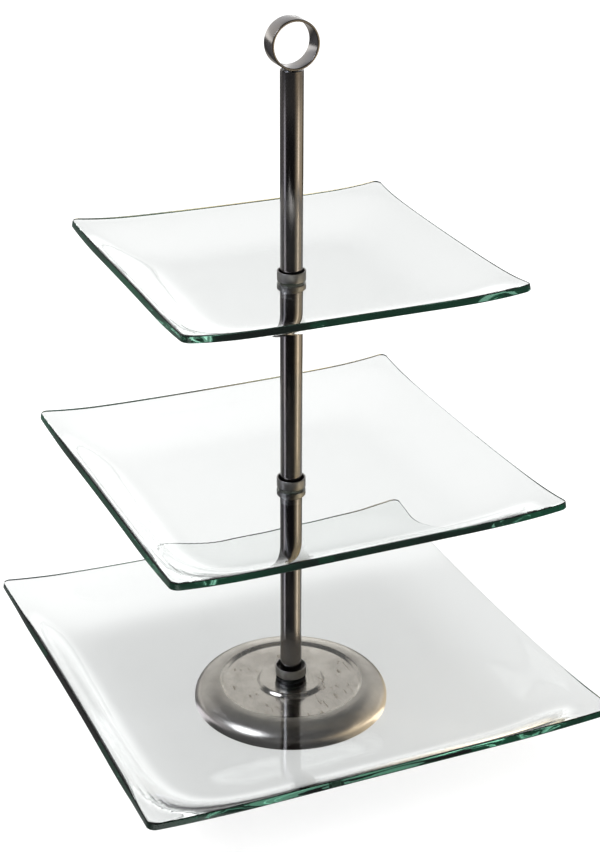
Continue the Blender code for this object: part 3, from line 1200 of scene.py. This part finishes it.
@dataclass
class Studio:
    """A white sweep with a pale wall behind, a dark near side and soft lamps."""

    toward: Vector = Vector((-0.3827, -0.9239, 0.0))
    right: Vector = Vector((0.9239, -0.3827, 0.0))
    floor_r: float = 6.0
    glow: float = 0.61
    paper: float = 0.38
    through: float = 0.155  # painted shade: the floor and the white world are darkened by this share where they are seen through glass
    pane: float = 0.38  # what the glass mirrors of the room
    pane_wall: float = 1.4
    pane_floor: float = 1.5
    wall_light: Colour = (0.74, 0.74, 0.75)
    wall_foot: Colour = (1.35, 1.35, 1.35)
    softbox_light: Colour = (5.0, 5.3, 6.1)
    softbox_inner: float = 8.0
    softbox_outer: float = 20.0
    floor_end: Colour = (0.16, 0.155, 0.15)
    fade_start: float = 2.4
    fade_end: float = 4.0
    key_size: float = 0.50
    key_power: float = 8.0
    key_away: float = 1.15
    camera_place: Vector = Vector((-0.3933, -0.9496, 0.6660))
    camera_aim: Vector = Vector((0.0, 0.0, 0.1891))
    camera_pan: float = math.radians(0.26)
    camera_roll: float = math.radians(-0.10)
    lens: float = 81.4

    def way(self, side: float, near: float, up: float) -> Vector:
        """Return the unit direction with these shares of right, near and up."""
        return (side * self.right + near * self.toward + up * Vector((0, 0, 1))).normalized()

    def lobe(self, net: Net, way: Wire, aim: Vector, inner: float, outer: float) -> Wire:
        """Make a soft disc of light in a direction.

        Args:
            net: The net to build in.
            way: The direction looked at.
            aim: The disc's middle.
            inner: The angle in degrees out to which it is full.
            outer: The angle at which it ends.

        Returns:
            1 inside the disc and 0 outside, as a wire.
        """
        low, high = (math.cos(math.radians(angle)) for angle in (outer, inner))
        return net.dot(way, aim).step(low, high)

    def ring_light(self, net: Net, side: Wire, near: Wire) -> Wire:
        """Make the light that upright metal sees round the stand.

        Args:
            net: The net to build in.
            side: How far the direction points to the right.
            near: How far it points towards the near side.

        Returns:
            The colour, as a wire.
        """
        turn = side.angle_from(near)  # 0 towards the near side, positive to the right
        cool = abs(turn + 1.25).step(0.26, 0.06)
        left = abs(turn + 2.0).step(0.75, 0.25)
        warm = abs(turn - 1.45).step(1.05, 0.35)
        glint = abs(turn - 1.22).step(0.20, 0.05)
        wall = abs(turn).step(2.55, 2.9)
        light = net.blend(left, (0.012, 0.011, 0.012), (0.17, 0.17, 0.18))
        light = net.blend(warm, light, (0.80, 0.69, 0.52))
        light = net.blend(cool, light, (0.95, 0.95, 1.08))
        light = net.blend(glint, light, (2.3, 2.0, 1.6))
        return net.blend(wall, light, (0.45, 0.43, 0.40))

    def paths(self, net: Net, far: Feed) -> tuple[Wire, Wire, Wire, Wire]:
        """Sort the rays that reach the studio.

        Args:
            net: The net to build in.
            far: 1 where the ray ends far from the stand.

        Returns:
            Where a ray was mirrored by metal, where by glass, where it only came through
            glass and where it came from the base, as wires of 0 or 1.
        """
        path = net.node("ShaderNodeLightPath")
        bounces = Wire(net, path.outputs["Glossy Depth"])
        passes = Wire(net, path.outputs["Transmission Depth"])
        sharp = Wire(net, path.outputs["Is Singular Ray"])
        mirrored, passed = bounces > 0.5, passes > 0.5
        below = (passes > 2.5) * (1.0 - (bounces > 1.5))
        pane = mirrored * sharp * (1.0 - below) * (1.0 - passed * (1.0 - far))
        return mirrored * (1.0 - pane), pane, passed * (1.0 - mirrored), mirrored * below

    def sky(self) -> None:
        """Make the world: white to look at, and shaped light for reflections."""
        world = bpy.data.worlds.new("studio")
        bpy.context.scene.world = world
        net = Net(world)
        way = net.wire("ShaderNodeTexCoord", output="Generated")
        up = net.axes(way)[2]
        side, near = net.dot(way, self.right), net.dot(way, self.toward)
        light = net.blend(up.step(0.02, 0.35), (0.06, 0.06, 0.063), (0.022, 0.022, 0.025))
        light = net.blend(side.step(0.35, 0.95) * up.step(0.35, 0.05), light, (0.60, 0.50, 0.36))
        wall = near.step(-0.20, -0.58) * up.step(0.74, 0.52)
        light = net.blend(wall, light, self.wall_light)
        light = net.blend(wall * up.step(0.16, 0.05), light, self.wall_foot)
        aim = self.way(-0.68, 0.42, 0.61)
        softbox = self.lobe(net, way, aim, self.softbox_inner, self.softbox_outer)
        light = net.blend(softbox, light, self.softbox_light)
        metal, pane, through, _ = self.paths(net, 1.0)
        # Painted shade: the white world is darkened where it is seen through glass.
        white = net.blend(through, (1.0, 1.0, 1.0), (1.0 - self.through,) * 3)
        low = up.step(0.36, 0.02) * abs(side).step(0.60, 0.10)
        glass = net.blend(low, (self.pane,) * 3, (self.pane_wall,) * 3)
        seen = net.blend(pane, net.blend(metal, white, light), glass)
        out = net.wire("ShaderNodeBackground", None, {"Color": seen})
        net.node("ShaderNodeOutputWorld", None, {"Surface": out})

    def floor(self) -> None:
        """Lay the white floor, which glows a little so that its shadows stay pale."""
        clear_selection()
        bpy.ops.mesh.primitive_circle_add(vertices=96, radius=self.floor_r, fill_type="NGON")
        piece = bpy.context.object
        piece.name = "floor"
        paper = bpy.data.materials.new("white_paper")
        net = Net(paper)
        x, y, _ = net.axes(net.place())
        away = (x * x + y * y).root()
        side = (x * self.right.x + y * self.right.y) / away
        near = (x * self.toward.x + y * self.toward.y) / away
        far = 1.0 - (1.0 - (away > 0.75)) * (near > -0.4)
        metal, pane, through, below = self.paths(net, far)
        # Painted shade: the floor's colour and glow are darkened where it is seen through glass.
        kept = 1.0 - through * self.through
        grain = net.noise(net.place(), 900.0, 3.0)
        colour = net.blend(kept, (0.0, 0.0, 0.0), (self.paper,) * 3)
        values = {"Color": colour, "Normal": net.bump(grain, 0.00005, 0.2)}
        sheet = net.wire("ShaderNodeBsdfDiffuse", None, values)
        glow = net.wire("ShaderNodeEmission", None, {"Strength": kept * self.glow})
        both = net.wire("ShaderNodeAddShader", None, {0: sheet, 1: glow})
        fade = away.step(self.fade_start, self.fade_end)
        ring = net.blend(fade, self.ring_light(net, side, near), self.floor_end)
        dome = net.blend(side.step(0.25, 0.85), (0.03, 0.03, 0.033), (0.85, 0.70, 0.45))
        ring = net.blend(below, ring, dome)
        beside = abs(side).step(0.15, 0.60)
        bright = net.blend(beside, (self.pane_floor,) * 3, (self.pane,) * 3)
        light = net.wire("ShaderNodeEmission", None, {"Color": net.blend(pane, ring, bright)})
        mix = net.wire("ShaderNodeMixShader", None, {0: metal + pane, 1: both, 2: light})
        net.node("ShaderNodeOutputMaterial", None, {"Surface": mix})
        piece.data.materials.append(paper)

    def key(self) -> None:
        """Hang the soft key lamp on the left."""
        data = bpy.data.lights.new("key", "AREA")
        data.shape = "DISK"
        data.size = self.key_size
        data.energy = self.key_power
        lamp = bpy.data.objects.new("key", data)
        bpy.context.scene.collection.objects.link(lamp)
        lamp.location = self.key_away * self.way(-0.80, -0.15, 0.60)
        lamp.rotation_euler = (-lamp.location).to_track_quat("-Z", "Y").to_euler()
        lamp.visible_glossy = False
        lamp.visible_transmission = False
        lamp.visible_camera = False

    @staticmethod
    def swing(first: Vector, second: Vector, angle: float) -> tuple[Vector, Vector]:
        """Return two square unit vectors turned by an angle in their plane."""
        c, s = math.cos(angle), math.sin(angle)
        return c * first - s * second, s * first + c * second

    def camera(self) -> None:
        """Place the camera, turned a little from its aim by a pan and a roll."""
        forward = (self.camera_aim - self.camera_place).normalized()
        right = forward.cross(Vector((0, 0, 1))).normalized()
        up = right.cross(forward)
        right, forward = self.swing(right, forward, self.camera_pan)
        right, up = self.swing(right, up, self.camera_roll)
        data = bpy.data.cameras.new("camera")
        data.lens = self.lens
        data.sensor_width = 36.0
        data.clip_end = 100.0
        camera = bpy.data.objects.new("camera", data)
        bpy.context.scene.collection.objects.link(camera)
        turn = Matrix((right, up, -forward)).transposed().to_4x4()
        camera.matrix_world = Matrix.Translation(self.camera_place) @ turn
        bpy.context.scene.camera = camera

    def build(self) -> None:
        """Set up the studio."""
        bpy.context.scene.view_settings.view_transform = "Standard"
        bpy.context.scene.view_settings.look = "Medium High Contrast"
        self.sky()
        self.floor()
        self.key()
        self.camera()


def main() -> None:
    """Build the stand and its studio."""
    logging.basicConfig(level=logging.INFO, format="%(message)s")
    CakeStand().build()
    Studio().build()


if __name__ == "__main__":
    main()
